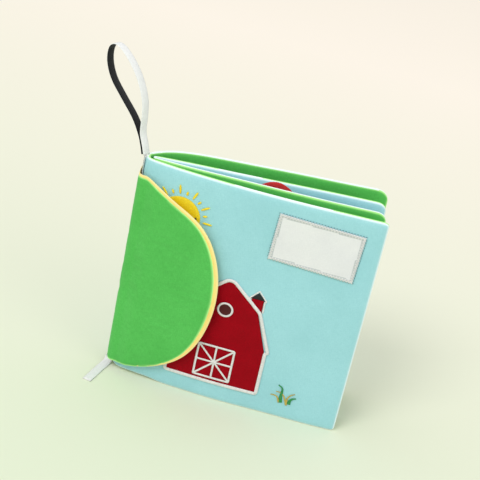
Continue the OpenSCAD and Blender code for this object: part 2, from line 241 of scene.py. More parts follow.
def makeThread(name, look):
    # Embroidery thread: satin ridges on the piece's UV map, the grooves between them darkened as
    # painted shade
    material, tree, shader = startMaterial(name)
    place = addNode(tree, "ShaderNodeTexCoord")
    stitch = addNode(tree, "ShaderNodeGroup", node_tree=satinStitch)
    stitch.inputs["Thread"].default_value = look["thread"] * mm
    tree.links.new(place.outputs["UV"], stitch.inputs["Vector"])
    spread = addNode(tree, "ShaderNodeMapRange",
                     {"Value": stitch.outputs["Shade"], "From Min": 0.2, "From Max": 0.7})
    mottle = addNode(tree, "ShaderNodeGroup", node_tree=softMottle)
    mottle.inputs["Size"].default_value = 90.0
    tree.links.new(place.outputs["Object"], mottle.inputs["Vector"])
    base = mixColours(tree, mottle.outputs["Fac"], linear(look["colour"]), linear(look["shade"]))
    tree.links.new(mixColours(tree, spread.outputs[0], linear(look["deep"]), base),
                   shader.inputs["Base Color"])
    bump = addNode(tree, "ShaderNodeBump",
                   {"Height": stitch.outputs["Height"], "Strength": look["bump"],
                    "Distance": 0.0002})
    tree.links.new(bump.outputs[0], shader.inputs["Normal"])
    shader.inputs["Roughness"].default_value = look["rough"]
    shader.inputs["Specular IOR Level"].default_value = look["gloss"]
    shader.inputs["Anisotropic"].default_value = 0.3
    return material


# The fourth colour and its amount give the painted highlight along the seams
def clothLook(colour, shade, deep, paintedHighlight, thread=0.5, mottle=28.0, contrast=0.3, paintedHighlightAmount=0.5, bump=0.5,
              sheen=0.15):
    return {"colour": colour, "shade": shade, "deep": deep, "paintedHighlight": paintedHighlight, "thread": thread,
            "mottle": mottle, "contrast": contrast, "paintedHighlightAmount": paintedHighlightAmount, "bump": bump, "sheen": sheen}


def threadLook(colour, shade, deep, thread=0.4, bump=0.6, rough=0.45, gloss=0.4):
    return {"colour": colour, "shade": shade, "deep": deep, "thread": thread, "bump": bump,
            "rough": rough, "gloss": gloss}


skyCloth = makeCloth("skyCloth", clothLook(
    (168, 221, 228), (160, 214, 221), (138, 196, 204), (244, 255, 255), paintedHighlightAmount=1.0, contrast=0.5))
greenCloth = makeCloth("greenCloth", clothLook(
    (92, 198, 92), (84, 188, 84), (56, 156, 60), (190, 252, 156), paintedHighlightAmount=1.0, contrast=0.5))
yellowCloth = makeCloth("yellowCloth", clothLook(
    (255, 229, 140), (250, 218, 124), (232, 192, 96), (255, 242, 186), contrast=0.2))
redFelt = makeCloth("redFelt", clothLook(
    (205, 48, 44), (192, 40, 38), (166, 26, 28), (224, 84, 74), contrast=0.4, mottle=120.0,
    sheen=0.3))
labelCloth = makeCloth("labelCloth", clothLook(
    (240, 240, 240), (232, 232, 234), (206, 207, 210), (246, 246, 246), thread=0.35, paintedHighlightAmount=0.2))
# Grey band along the label's edge under the whip stitches: painted shade between the threads
labelEdgeShade = makeCloth("labelEdgeShade", clothLook(
    (208, 211, 213), (200, 204, 206), (176, 182, 185), (212, 215, 217), thread=0.35, paintedHighlightAmount=0.0))
ribbonWhite = makeCloth("ribbonWhite", clothLook(
    (244, 245, 243), (236, 238, 236), (200, 202, 200), (250, 250, 250), thread=0.3, paintedHighlightAmount=0.0))
ribbonBlack = makeCloth("ribbonBlack", clothLook(
    (30, 31, 33), (24, 25, 27), (12, 12, 13), (60, 60, 62), thread=0.3, paintedHighlightAmount=0.0))
barnRed = makeThread("barnRed", threadLook(
    (170, 0, 22), (158, 0, 19), (118, 0, 8), thread=0.45, rough=0.8, gloss=0.1))
whiteThread = makeThread("whiteThread", threadLook(
    (246, 245, 242), (238, 238, 236), (196, 196, 198), thread=0.4, rough=0.5))
windowThread = makeThread("windowThread", threadLook((92, 8, 16), (78, 6, 12), (48, 2, 6)))
# Darkened sky blue for the painted shade at the label's stitch feet
stitchFootShade = makeThread("stitchFootShade", threadLook((96, 132, 138), (84, 118, 124), (62, 92, 98)))
blackThread = makeThread("blackThread", threadLook((34, 33, 38), (26, 26, 30), (10, 10, 12)))
sunThread = makeThread("sunThread", threadLook(
    (250, 228, 34), (246, 214, 24), (214, 176, 12), thread=0.45))
rayThread = makeThread("rayThread", threadLook(
    (255, 232, 60), (250, 222, 44), (236, 200, 26), thread=0.45, gloss=0.15))
grassGreen = makeThread("grassGreen", threadLook((52, 160, 84), (40, 146, 72), (20, 104, 46)))
grassOchre = makeThread("grassOchre", threadLook((214, 190, 90), (204, 176, 74), (160, 128, 40)))
print("materials made")


# Plan lines, the same as the frame's
book = {
    "width": 160.0,
    "height": 160.0,
    "coverThick": 4.2,
    "pageThick": 3.8,
    "edge": 2.2,
    "corner": 6.0,
    "frontCorner": 3.0,
    "backCorner": 8.0,
    "pageInset": 1.5,
    "spineDepth": 12.6,
    "spineX": -2.7,
    "hingeX": 1.6,
    "frontFan": 25.0,
    "frontBelly": 13.0,
    "backFan": 25.0,
    "backBelly": 13.0,
    "frontPageFan": 10.5,
    "backPageFan": 5.4,
    "foldR": 1.4,
    "foldX": 3.3,
}
foreX = book["width"] + book["spineX"]
pageForeX = foreX - book["pageInset"]
leafEdgeY = book["spineDepth"] / 2 - book["edge"] / 2


def leafY(x, side, near, belly, run, fan, first, last):
    bow = belly * (1 - math.exp(-(x - first) / run))
    return side * (near + bow + (fan - near - belly) * (x - first) / (last - first))


def frontY(x):
    return leafY(x, -1, leafEdgeY, book["frontBelly"], 50, book["frontFan"], book["hingeX"], foreX)


def backY(x):
    return leafY(x, 1, leafEdgeY, book["backBelly"], 12, book["backFan"], book["hingeX"], foreX)


def frontPageY(x):
    fan = book["frontPageFan"]
    return leafY(x, -1, book["foldR"], 0.6 * fan, 60, fan, book["foldX"], pageForeX)


def backPageY(x):
    fan = book["backPageFan"]
    return leafY(x, 1, book["foldR"], 0.2 * fan, 30, fan, book["foldX"], pageForeX)


def smooth(t):
    c = max(0.0, min(1.0, t))
    return c * c * (3 - 2 * c)


def arcOf(centre, radius, first, last, steps):
    # Points on a circle in plan, angles in degrees
    found = []
    for k in range(steps + 1):
        a = math.radians(first + (last - first) * k / steps)
        found.append((centre[0] + radius * math.cos(a), centre[1] + radius * math.sin(a)))
    return found


def bentCorner(start, startWay, end, endWay, reach, steps=10):
    # Smooth corner between two straight runs
    p0, p3 = Vector(start), Vector(end)
    p1 = p0 + Vector(startWay).normalized() * reach
    p2 = p3 - Vector(endWay).normalized() * reach
    found = []
    for k in range(1, steps):
        t = k / steps
        s = 1 - t
        found.append(tuple(s ** 3 * p0 + 3 * s * s * t * p1 + 3 * s * t * t * p2 + t ** 3 * p3))
    return found


class PlanLine:
    # A line in plan, walked by its length; right is the unit normal to the right of its way
    def __init__(self, points):
        self.points = [Vector(p) for p in points]
        self.marks = [0.0]
        for a, b in zip(self.points, self.points[1:]):
            self.marks.append(self.marks[-1] + (b - a).length)
        self.length = self.marks[-1]

    def rawAt(self, s):
        s = max(0.0, min(self.length, s))
        low, high = 0, len(self.marks) - 1
        while high - low > 1:
            mid = (low + high) // 2
            if self.marks[mid] <= s:
                low = mid
            else:
                high = mid
        share = (s - self.marks[low]) / max(1e-9, self.marks[high] - self.marks[low])
        return self.points[low].lerp(self.points[high], share)

    def at(self, s, reach=0.8):
        back, ahead = self.rawAt(s - reach), self.rawAt(s + reach)
        way = (ahead - back).normalized()
        return self.rawAt(s), Vector((way.y, -way.x))

    def lengthTo(self, test):
        # Length along the line to the first point that passes the test
        for point, mark in zip(self.points, self.marks):
            if test(point):
                return mark
        return self.length


def walk(first, last, step, line):
    count = max(2, round(abs(last - first) / step))
    return [(first + (last - first) * k / count, line(first + (last - first) * k / count))
            for k in range(count + 1)]


spineMidX = -1.0
coverLine = PlanLine(
    walk(foreX, 3.0, 1.5, frontY)
    + bentCorner((3.0, frontY(3.0)), (-1, 0.30), (spineMidX, -1.8), (0, 1), 2.2)
    + [(spineMidX, -1.8), (spineMidX, 0.0), (spineMidX, 1.8)]
    + bentCorner((spineMidX, 1.8), (0, 1), (3.0, backY(3.0)), (1, 1.0), 1.9)
    + walk(3.0, foreX, 1.5, backY))
pageLine = PlanLine(
    walk(pageForeX, book["foldX"], 1.5, frontPageY)
    + arcOf((book["foldX"], 0), book["foldR"], 270, 90, 10)[1:-1]
    + walk(book["foldX"], pageForeX, 1.5, backPageY))


def cornerCut(x, last, radius):
    if x < last - radius:
        return 0.0
    return radius - math.sqrt(max(0.0, radius ** 2 - (x - last + radius) ** 2))


def waver(x, y, z, size, seed):
    # Gentle unevenness from -1 to 1
    return noise.noise(Vector((x / size + seed, y / size, z / size)))


# Padded leaves
edgeSteps = [0.0, 0.5, 1.4, 2.9, 5.0, 7.6]    # rows of cloth behind a seam, finer at the roll


def spacedRows(low, high, count):
    # Heights from low to high: edge rows at both ends and even rows between
    tail = edgeSteps[-1]
    inner = count - 2 * (len(edgeSteps) - 1)
    rows = [low + d for d in edgeSteps]
    rows += [low + tail + (high - low - 2 * tail) * k / inner for k in range(1, inner)]
    rows += [high - d for d in reversed(edgeSteps)]
    return rows


def slabOf(columns, rows):
    # Closed slab of two grids joined by a wall with a seam ring: x and y count cells, z is the side
    bm = bmesh.new()
    bmesh.ops.create_grid(bm, x_segments=columns, y_segments=rows, size=0.5)
    bmesh.ops.scale(bm, vec=(columns, rows, 1), verts=bm.verts)
    bmesh.ops.translate(bm, vec=(columns / 2, rows / 2, -1), verts=bm.verts)
    made = bmesh.ops.extrude_face_region(bm, geom=bm.faces[:], use_keep_orig=True)
    risen = [v for v in made["geom"] if isinstance(v, bmesh.types.BMVert)]
    bmesh.ops.translate(bm, vec=(0, 0, 2), verts=risen)
    uprights = [e for e in bm.edges if abs(e.verts[0].co.z - e.verts[1].co.z) > 1]
    bmesh.ops.subdivide_edges(bm, edges=uprights, cuts=1)
    bmesh.ops.recalc_face_normals(bm, faces=bm.faces)
    return bm


def finishPiece(bm, name, materials, smoothShading=True):
    for face in bm.faces:
        face.smooth = smoothShading
    mesh = bpy.data.meshes.new(name)
    bm.to_mesh(mesh)
    bm.free()
    piece = bpy.data.objects.new(name, mesh)
    scene.collection.objects.link(piece)
    for material in materials:
        mesh.materials.append(material)
    return piece


def settleMesh(piece):
    # Makes what the modifiers show the piece's own mesh
    bpy.context.view_layer.update()
    seen = piece.evaluated_get(bpy.context.evaluated_depsgraph_get())
    mesh = bpy.data.meshes.new_from_object(seen)
    piece.modifiers.clear()
    piece.data = mesh


def swell(piece, ways):
    # Cloth simulation of the padding: seams are held, and no point moves further than the cap
    before = [v.co.copy() for v in piece.data.vertices]
    held = piece.vertex_groups.new(name="held")
    rim = piece.data.attributes["seamRim"].data
    for vertex in piece.data.vertices:
        held.add([vertex.index], ways["hold"] + (1 - ways["hold"]) * rim[vertex.index].value, "REPLACE")
    cloth = piece.modifiers.new("padding", "CLOTH")
    cloth.settings.quality = 4
    cloth.settings.mass = 0.15
    cloth.settings.tension_stiffness = 12
    cloth.settings.compression_stiffness = 12
    cloth.settings.bending_stiffness = 0.3
    cloth.settings.shrink_min = -ways["slack"]
    cloth.settings.use_pressure = True
    cloth.settings.uniform_pressure_force = ways["pressure"]
    cloth.settings.effector_weights.gravity = 0
    cloth.settings.vertex_group_mass = "held"
    cloth.settings.pin_stiffness = ways["grip"]
    cloth.collision_settings.use_collision = False
    cloth.point_cache.frame_start = 1
    cloth.point_cache.frame_end = 20
    for step in range(1, 21):
        scene.frame_set(step)
    seen = piece.evaluated_get(bpy.context.evaluated_depsgraph_get())
    after = [v.co.copy() for v in seen.data.vertices]
    piece.modifiers.clear()
    piece.vertex_groups.clear()
    scene.frame_set(1)
    cap = ways["cap"] * mm
    furthest = 0.0
    for vertex, old, new in zip(piece.data.vertices, before, after):
        move = new - old
        furthest = max(furthest, move.length)
        if move.length > 1e-9:
            move *= cap * math.tanh(move.length / cap) / move.length
        vertex.co = old + move
    print(f"{piece.name} swelled, furthest {furthest / mm:.2f} mm before its cap of {ways['cap']} mm")


def leafPiece(name, line, shape, materials):
    # One padded sheet along a plan line; the left side is the outer cloth, the right one the lining
    columns, rows = shape["columns"], shape["rows"]
    bm = slabOf(columns, rows)
    stops = spacedRows(0, line.length, columns)
    uvLayer = bm.loops.layers.uv.new("UVMap")
    rimLayer = bm.verts.layers.float.new("seamRim")
    for vertex in bm.verts:
        i, j, side = round(vertex.co.x), round(vertex.co.y), vertex.co.z
        s = stops[i]
        point, right = line.at(s)
        low, high = shape["low"](point), shape["high"](point)
        z = spacedRows(low, high, rows)[j]
        inward = min(s, line.length - s, z - low, high - z)
        puff = math.sqrt(1 - (1 - min(1.0, inward / shape["roll"])) ** 2)
        half = shape["edgeHalf"] + (shape["thick"](point) / 2 - shape["edgeHalf"]) * puff
        if abs(side) < 0.5:          # the seam ring lies in the groove between the two rolls
            pull = shape["groove"]
            s = min(max(s, pull), line.length - pull)
            z = min(max(z, low + pull), high - pull)
            point, right = line.at(s)
        free = smooth((point.x - 4) / 60)
        sway = shape["sway"] * free * waver(point.x, point.y, z, 46, shape["seed"])
        place = point + right * (side * half + sway)
        # Nearness to the seam: holds the seam during the swelling and masks the painted seam highlight
        vertex[rimLayer] = 1 - smooth(inward / 1.6)
        vertex.co = Vector((place.x, place.y, z)) * mm
    for face in bm.faces:
        for loop in face.loops:
            co = loop.vert.co
            loop[uvLayer].uv = (co.x + 0.35 * co.y, co.z)
    placeLining(bm, line)
    bm.normal_update()
    return finishPiece(bm, name, materials)


def placeLining(bm, line):
    # Faces that look to the inside of the fold get the second material; along the back cover's top
    # the outer cloth is rolled a little over the seam
    for face in bm.faces:
        centre = face.calc_center_median() / mm
        flat = Vector((centre.x, centre.y))
        s = nearestLength(line, flat)
        point, right = line.at(s)
        offset = (flat - point).dot(right)
        rolled = centre.y > 2 and centre.z > book["height"] - 0.45 and offset < 1.0
        face.material_index = 1 if offset > 0.0 and not rolled else 0


lineTables = {}


def nearestLength(line, flat):
    # Length along the line nearest to a point in plan, from a table made once for each line
    key = id(line)
    if key not in lineTables:
        count = round(line.length / 0.8)
        lineTables[key] = [(line.length * k / count, line.rawAt(line.length * k / count))
                           for k in range(count + 1)]
    return min(lineTables[key], key=lambda pair: (pair[1] - flat).length_squared)[0]


def frontLow(point):
    x = point.x
    lifted = 1.2 * (1 - smooth((x - 23) / 14))
    heel = 3.4 * (1 - smooth((x - spineMidX) / 6))
    return max(cornerCut(x, foreX, book["frontCorner"]), lifted, heel)


def backLow(point):
    x = point.x
    heel = 3.4 * (1 - smooth((x - spineMidX) / 6))
    return max(cornerCut(x, foreX, book["backCorner"]), heel)


def coverHigh(point):
    corner = book["frontCorner"] if point.y < 0 else book["backCorner"]
    return book["height"] - cornerCut(point.x, foreX, corner)


coverShape = {
    "columns": 118,
    "rows": 58,
    "low": lambda point: frontLow(point) if point.y < 0 else backLow(point),
    "high": coverHigh,
    "thick": lambda point: 3.3 + (book["coverThick"] - 3.3) * smooth((point.x - 2) / 8),
    "edgeHalf": 0.55,
    "roll": 5.0,
    "groove": 0.7,
    "sway": 0.9,
    "seed": 3.0,
}
pageShape = {
    "columns": 112,
    "rows": 58,
    "low": lambda point: cornerCut(point.x, pageForeX, book["corner"]),
    "high": lambda point: book["height"] - 0.5 - cornerCut(point.x, pageForeX, book["corner"]),
    "thick": lambda point: 2.3 + (book["pageThick"] - 2.3) * smooth((point.x - 4) / 10),
    "edgeHalf": 0.5,
    "roll": 5.0,
    "groove": 0.7,
    "sway": 0.7,
    "seed": 11.0,
}
coverSwelling = {"pressure": 3.0, "slack": 0.012, "hold": 0.25, "grip": 0.6, "cap": 1.1}
pageSwelling = {"pressure": 2.5, "slack": 0.012, "hold": 0.25, "grip": 0.6, "cap": 0.9}


def subdivided(piece, levels=1):
    smoothing = piece.modifiers.new("smoothing", "SUBSURF")
    smoothing.levels = levels
    smoothing.render_levels = levels
    settleMesh(piece)


def cutHalf(piece, name, keep):
    # One half of the cover sheet, cut down the middle of the spine and closed there
    bm = bmesh.new()
    bm.from_mesh(piece.data)
    cut = bmesh.ops.bisect_plane(bm, geom=bm.verts[:] + bm.edges[:] + bm.faces[:], dist=1e-7,
                                 plane_co=(0, 0, 0), plane_no=(0, -keep, 0), clear_outer=True)
    rim = [e for e in cut["geom_cut"] if isinstance(e, bmesh.types.BMEdge)]
    bmesh.ops.contextual_create(bm, geom=rim)
    return finishPiece(bm, name, [skyCloth, greenCloth])


coverSheet = leafPiece("coverSheet", coverLine, coverShape, [skyCloth, greenCloth])
swell(coverSheet, coverSwelling)
subdivided(coverSheet)
frontCover = cutHalf(coverSheet, "frontCover", -1)
backCover = cutHalf(coverSheet, "backCover", 1)
bpy.data.objects.remove(coverSheet)
pageSheet = leafPiece("pageSheet", pageLine, pageShape, [greenCloth, skyCloth])
swell(pageSheet, pageSwelling)
subdivided(pageSheet)
print("covers and pages made")


# Laying pieces on the cloth
def surfaceOf(piece):
    bm = bmesh.new()
    bm.from_mesh(piece.data)
    tree = BVHTree.FromBMesh(bm)
    bm.free()
    return tree


frontFace = surfaceOf(frontCover)
pageFace = surfaceOf(pageSheet)


def onFront(x, z, height):
    # The point at a height over the front cover's outer cloth
    hit, normal, _, _ = frontFace.ray_cast(Vector((x * mm, -0.08, z * mm)), Vector((0, 1, 0)))
    return hit + normal * height * mm


def onBackPage(x, z, height):
    # The same over the back page, from between the two pages
    start = Vector((x * mm, frontPageY(x) * mm * 0.3, z * mm))
    hit, normal, _, _ = pageFace.ray_cast(start, Vector((0, 1, 0)))
    return hit + normal * height * mm


def patch(name, outline, thick, lay, materials, cell=1.3, level=0.05, dome=1.2, turn=0.0, borderWidth=0.0):
    # Convex patch: a grid trimmed along its outline, thickened and laid on the cloth; a border of the
    # given width has the second material
    low = Vector((min(p[0] for p in outline), min(p[1] for p in outline)))
    high = Vector((max(p[0] for p in outline), max(p[1] for p in outline)))
    middle = (low + high) / 2
    size = high - low
    bm = bmesh.new()
    bmesh.ops.create_grid(bm, x_segments=max(2, round(size.x / cell)),
                          y_segments=max(2, round(size.y / cell)), size=0.5)
    bmesh.ops.scale(bm, vec=(size.x * 1.02, size.y * 1.02, 1), verts=bm.verts)
    bmesh.ops.translate(bm, vec=(middle.x, middle.y, 0), verts=bm.verts)
    sides = []
    for a, b in zip(outline, outline[1:] + outline[:1]):
        way = (Vector(b) - Vector(a)).normalized()
        outward = Vector((way.y, -way.x))
        sides.append((Vector(a), outward))
        bmesh.ops.bisect_plane(bm, geom=bm.verts[:] + bm.edges[:] + bm.faces[:], dist=1e-4,
                               plane_co=(a[0], a[1], 0), plane_no=(outward.x, outward.y, 0),
                               clear_outer=True)
    made = bmesh.ops.extrude_face_region(bm, geom=bm.faces[:], use_keep_orig=True)
    top = set(v for v in made["geom"] if isinstance(v, bmesh.types.BMVert))
    uvLayer = bm.loops.layers.uv.new("UVMap")
    swing = Matrix.Rotation(math.radians(turn), 2)
    for face in bm.faces:
        centre = face.calc_center_median().xy
        if min((start - centre).dot(outward) for start, outward in sides) < borderWidth:
            face.material_index = 1
        for loop in face.loops:
            loop[uvLayer].uv = swing @ (loop.vert.co.xy * mm)
    for vertex in bm.verts:
        x, z = vertex.co.x, vertex.co.y
        inside = min((start - vertex.co.xy).dot(outward) for start, outward in sides)
        rise = level
        if vertex in top:
            round_ = math.sqrt(max(0.0, 1 - (1 - min(1.0, inside / dome)) ** 2))
            rise = level + thick * (0.45 + 0.55 * round_)
        vertex.co = lay(x, z, rise)
    bmesh.ops.recalc_face_normals(bm, faces=bm.faces)
    return finishPiece(bm, name, materials)


def circlePoints(x, z, radius, count):
    found = []
    for k in range(count):
        a = 2 * math.pi * k / count
        found.append((x + radius * math.cos(a), z + radius * math.sin(a)))
    return found


def resample(points, step, closed):
    # Even points along a chain of straight runs
    chain = [Vector(p) for p in points] + ([Vector(points[0])] if closed else [])
    line = PlanLine(chain)
    count = max(2, round(line.length / step))
    return [line.rawAt(line.length * k / count) for k in range(count + 1)], line.length


def smoothLine(points, steps):
    # Smooth line through chosen points
    found = []
    last = len(points) - 1
    for k in range(last):
        a, b = points[max(k - 1, 0)], points[k]
        c, d = points[k + 1], points[min(k + 2, last)]
        for n in range(steps):
            t = n / steps
            found.append(0.5 * (2 * b + (c - a) * t + (2 * a - 5 * b + 4 * c - d) * t ** 2
                                + (3 * b - a - 3 * c + d) * t ** 3))
    return found + [points[-1]]


def roundedChain(points, closed, passes=2):
    # Cuts the corners of a chain a little, as a row of stitches turns
    chain = [Vector(p) for p in points]
    for _ in range(passes):
        cut = []
        count = len(chain) if closed else len(chain) - 1
        for k in range(count):
            a, b = chain[k], chain[(k + 1) % len(chain)]
            nip = min(0.25, 0.9 / max(0.01, (b - a).length))
            cut += [a.lerp(b, nip), b.lerp(a, nip)]
        chain = cut if closed else [chain[0]] + cut[1:-1] + [chain[-1]]
    return [tuple(p) for p in chain]


def bandInto(bm, points, width, thick, lay, closed, level=0.05, taper=None, step=0.9, sides=8):
    # One satin-stitched band along a chain: a flattened tube, added to a bmesh
    chain, length = resample(points, step, closed)
    count = len(chain) - 1
    part = bmesh.new()
    bmesh.ops.create_grid(part, x_segments=count, y_segments=sides, size=0.5)
    bmesh.ops.scale(part, vec=(count, sides, 1), verts=part.verts)
    bmesh.ops.translate(part, vec=(count / 2, sides / 2, 0), verts=part.verts)
    uvLayer = part.loops.layers.uv.new("UVMap")
    for face in part.faces:
        for loop in face.loops:
            u, v = loop.vert.co.x / count, loop.vert.co.y / sides
            loop[uvLayer].uv = (u * length * mm, v * width * mm)
    for vertex in part.verts:
        i, k = round(vertex.co.x), round(vertex.co.y)
        back = chain[(i - 1) % count] if closed else chain[max(i - 1, 0)]
        ahead = chain[(i + 1) % count] if closed else chain[min(i + 1, count)]
        way = (ahead - back).normalized()
        across = Vector((way.y, -way.x))
        wide = width * (taper(i / count) if taper else 1.0)
        angle = 2 * math.pi * k / sides
        spot = chain[i] + across * wide / 2 * math.cos(angle)
        rise = level + thick / 2 * (1 + math.sin(angle))
        vertex.co = lay(spot.x, spot.y, rise)
    bmesh.ops.remove_doubles(part, verts=part.verts, dist=1e-6)
    loose = [e for e in part.edges if e.is_boundary]
    if loose:
        bmesh.ops.holes_fill(part, edges=loose, sides=0)
    bmesh.ops.recalc_face_normals(part, faces=part.faces)
    mesh = bpy.data.meshes.new("part")
    part.to_mesh(mesh)
    part.free()
    bm.from_mesh(mesh)
    bpy.data.meshes.remove(mesh)


def bands(name, chains, width, thick, lay, materials, closed=False, level=0.05, taper=None, step=0.9):
    bm = bmesh.new()
    for chain in chains:
        bandInto(bm, chain, width, thick, lay, closed, level, taper, step)
    return finishPiece(bm, name, materials)


def stitchesInto(bm, spots, radius, lay, level, slot):
    # Single stitches: small spindles laid from one point to the other
    for (x1, z1), (x2, z2) in spots:
        a, b = lay(x1, z1, level), lay(x2, z2, level)
        way = b - a
        made = bmesh.ops.create_uvsphere(bm, u_segments=6, v_segments=5, radius=1.0)
        turn = way.to_track_quat("Z", "Y").to_matrix().to_4x4()
        size = Matrix.Diagonal((radius * mm, radius * mm, way.length / 2, 1))
        bmesh.ops.transform(bm, matrix=Matrix.Translation((a + b) / 2) @ turn @ size,
                            verts=made["verts"])
        for face in set(face for vertex in made["verts"] for face in vertex.link_faces):
            face.material_index = slot


def stitches(name, rows, radius, lay, materials):
    # Rows of (stitches, height over the cloth), each with the next material
    bm = bmesh.new()
    for slot, (spots, level) in enumerate(rows):
        stitchesInto(bm, spots, radius, lay, level, slot)
    uvLayer = bm.loops.layers.uv.new("UVMap")
    for face in bm.faces:
        for loop in face.loops:
            loop[uvLayer].uv = (loop.vert.co.x, loop.vert.co.z)
    return finishPiece(bm, name, materials)


def onLeaf(piece, slotName, *nodes):
    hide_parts(*nodes)
    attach(piece, "front_leaf")


# Barn
barn = {
    "x": 68.0, "foot": 15.0, "half": 31.0, "wall": 33.0, "roof": 47.0, "border": 2.0,
    "patch": 0.7, "door": 26.0, "window": 5.4, "bar": 1.5,
}


def barnPoint(x, z):
    return (barn["x"] + x, barn["foot"] + z)


def mirrored(points):
    return points + [(-x, z) for x, z in reversed(points)]


shoulder = (0.7 * barn["half"], barn["wall"] + 0.57 * barn["roof"])
peak = (0.07 * barn["half"], barn["wall"] + 0.95 * barn["roof"])
barnOutline = [barnPoint(x, z) for x, z in mirrored(
    [(barn["half"], 0), (barn["half"], barn["wall"]), shoulder, peak])]
border = barn["border"]
trimLine = [barnPoint(x, z) for x, z in mirrored(
    [(barn["half"] + 0.5 * border, -0.5 * border),
     (barn["half"] + 0.5 * border, barn["wall"] - 0.5 * border),
     (barn["half"] + 1.4 * border, barn["wall"] - 0.6 * border),
     (shoulder[0] + 0.6 * border, shoulder[1] + 0.4 * border),
     (peak[0], peak[1] + 0.6 * border)])]
barnWall = patch("barnWall", barnOutline, barn["patch"], onFront, [barnRed], turn=90)
barnTrim = bands("barnTrim", [roundedChain(trimLine, True)], 1.25 * border, 1.0, onFront,
                 [whiteThread], closed=True)

bar = barn["bar"]
doorHalf = barn["door"] / 2 - bar / 2
doorFoot = border + bar / 2
doorTop = doorFoot + 2 * doorHalf
doorMid = doorFoot + doorHalf
doorFrame = [barnPoint(*p) for p in (
    (-doorHalf, doorFoot), (doorHalf, doorFoot), (doorHalf, doorTop), (-doorHalf, doorTop))]
doorBars = [
    [barnPoint(0, doorFoot), barnPoint(0, doorTop)],
    [barnPoint(-doorHalf, doorMid), barnPoint(doorHalf, doorMid)],
    [barnPoint(-doorHalf, doorFoot), barnPoint(doorHalf, doorTop)],
    [barnPoint(-doorHalf, doorTop), barnPoint(doorHalf, doorFoot)],
]
bm = bmesh.new()
bandInto(bm, doorFrame, bar, 0.7, onFront, True, level=0.75)
for k, chain in enumerate(doorBars):
    bandInto(bm, chain, bar * 0.9, 0.62 - 0.06 * k, onFront, False, level=0.72)
barnDoor = finishPiece(bm, "barnDoor", [whiteThread])

windowZ = barn["wall"] + 0.51 * barn["roof"]
windowMid = barnPoint(0, windowZ)
barnWindow = patch("barnWindow", circlePoints(*windowMid, barn["window"] - 0.8, 28), 0.5, onFront,
                   [windowThread], cell=1.0, level=0.75)
barnRing = bands("barnWindowRing", [circlePoints(*windowMid, barn["window"] - 0.6, 32)], 1.5, 0.75,
                 onFront, [whiteThread], closed=True, level=0.75)

cupolaX = 0.63 * barn["half"]
cupolaHalf = 0.13 * barn["half"]
roofSlope = (peak[1] - shoulder[1]) / (peak[0] - shoulder[0])


def roofZ(x):
    return shoulder[1] + roofSlope * (x - shoulder[0]) + 1.6 * border


eave = roofZ(cupolaX) + 1.3 * cupolaHalf
cupolaTop = eave + 1.2 * cupolaHalf
cupolaBody = patch("cupola", [barnPoint(*p) for p in (
    (cupolaX - cupolaHalf, roofZ(cupolaX - cupolaHalf) - 0.6),
    (cupolaX + cupolaHalf, roofZ(cupolaX + cupolaHalf) - 0.6),
    (cupolaX + cupolaHalf, eave), (cupolaX - cupolaHalf, eave))],
    0.6, onFront, [barnRed], cell=0.9, turn=90)
roofHalf = 1.25 * cupolaHalf
cupolaRoof = patch("cupolaRoof", [barnPoint(*p) for p in (
    (cupolaX - roofHalf, eave), (cupolaX + roofHalf, eave), (cupolaX, cupolaTop))],
    0.8, onFront, [blackThread], cell=0.8)
cupolaTrim = bands("cupolaTrim", [[barnPoint(*p) for p in (
    (cupolaX - cupolaHalf - 0.8, roofZ(cupolaX - cupolaHalf)),
    (cupolaX - cupolaHalf - 0.8, eave - 0.4),
    (cupolaX - roofHalf - 0.9, eave - 0.4),
    (cupolaX, cupolaTop + 1.4),
    (cupolaX + roofHalf + 0.9, eave - 0.4),
    (cupolaX + cupolaHalf + 0.8, eave - 0.4),
    (cupolaX + cupolaHalf + 0.8, roofZ(cupolaX + cupolaHalf)))]],
    1.0, 0.55, onFront, [whiteThread], step=0.6)
for piece, slotName, node in (
        (barnWall, "barn_red", "barn_wall"), (barnTrim, "white_thread", "barn_trim"),
        (barnDoor, "white_thread", "barn_door"), (barnWindow, "window_dark", "barn_window"),
        (barnRing, "white_thread", "barn_window_ring"), (cupolaBody, "barn_red", "cupola"),
        (cupolaRoof, "black_thread", "cupola_roof"), (cupolaTrim, "white_thread", "cupola_trim")):
    onLeaf(piece, slotName, node)
print("barn sewn on")


# Sun
sun = {"x": 26.4, "z": 128.7, "radius": 13.6, "rays": 22, "gap": 2.0, "long": 6.0, "short": 2.8}


def aroundSun(angle, radius):
    a = math.radians(angle)
    return (sun["x"] + radius * math.cos(a), sun["z"] + radius * math.sin(a))


sunDisc = patch("sunDisc", circlePoints(sun["x"], sun["z"], sun["radius"], 40), 0.7, onFront,
                [sunThread], cell=1.2, turn=35)
rayChains = []
for k in range(sun["rays"]):
    angle = 360 * k / sun["rays"]
    near = sun["radius"] + sun["gap"]
    far = near + (sun["long"] if k % 2 == 0 else sun["short"])
    rayChains.append([aroundSun(angle, near), aroundSun(angle, far)])
sunRays = bands("sunRays", rayChains, 1.5, 0.7, onFront, [rayThread], step=0.7,
                taper=lambda t: 1 - 0.6 * abs(2 * t - 1) ** 3)
lids, lashes = [], []
for side in (-1, 1):
    x, z = sun["x"] + side * 0.62 * sun["radius"], sun["z"] + 0.2 * sun["radius"]
    lids.append([(x + 2.5 * math.cos(math.radians(a)), z + 2.5 * math.sin(math.radians(a)))
                 for a in range(190, 351, 16)])
    for a in (-45, -90, -135):
        way = Vector((math.cos(math.radians(a)), math.sin(math.radians(a))))
        lashes.append([(x + 2.6 * way.x, z + 2.6 * way.y), (x + 4.6 * way.x, z + 4.6 * way.y)])
sunEye = bands("sunEye", lids + lashes, 1.1, 0.6, onFront, [blackThread], level=0.75, step=0.5)
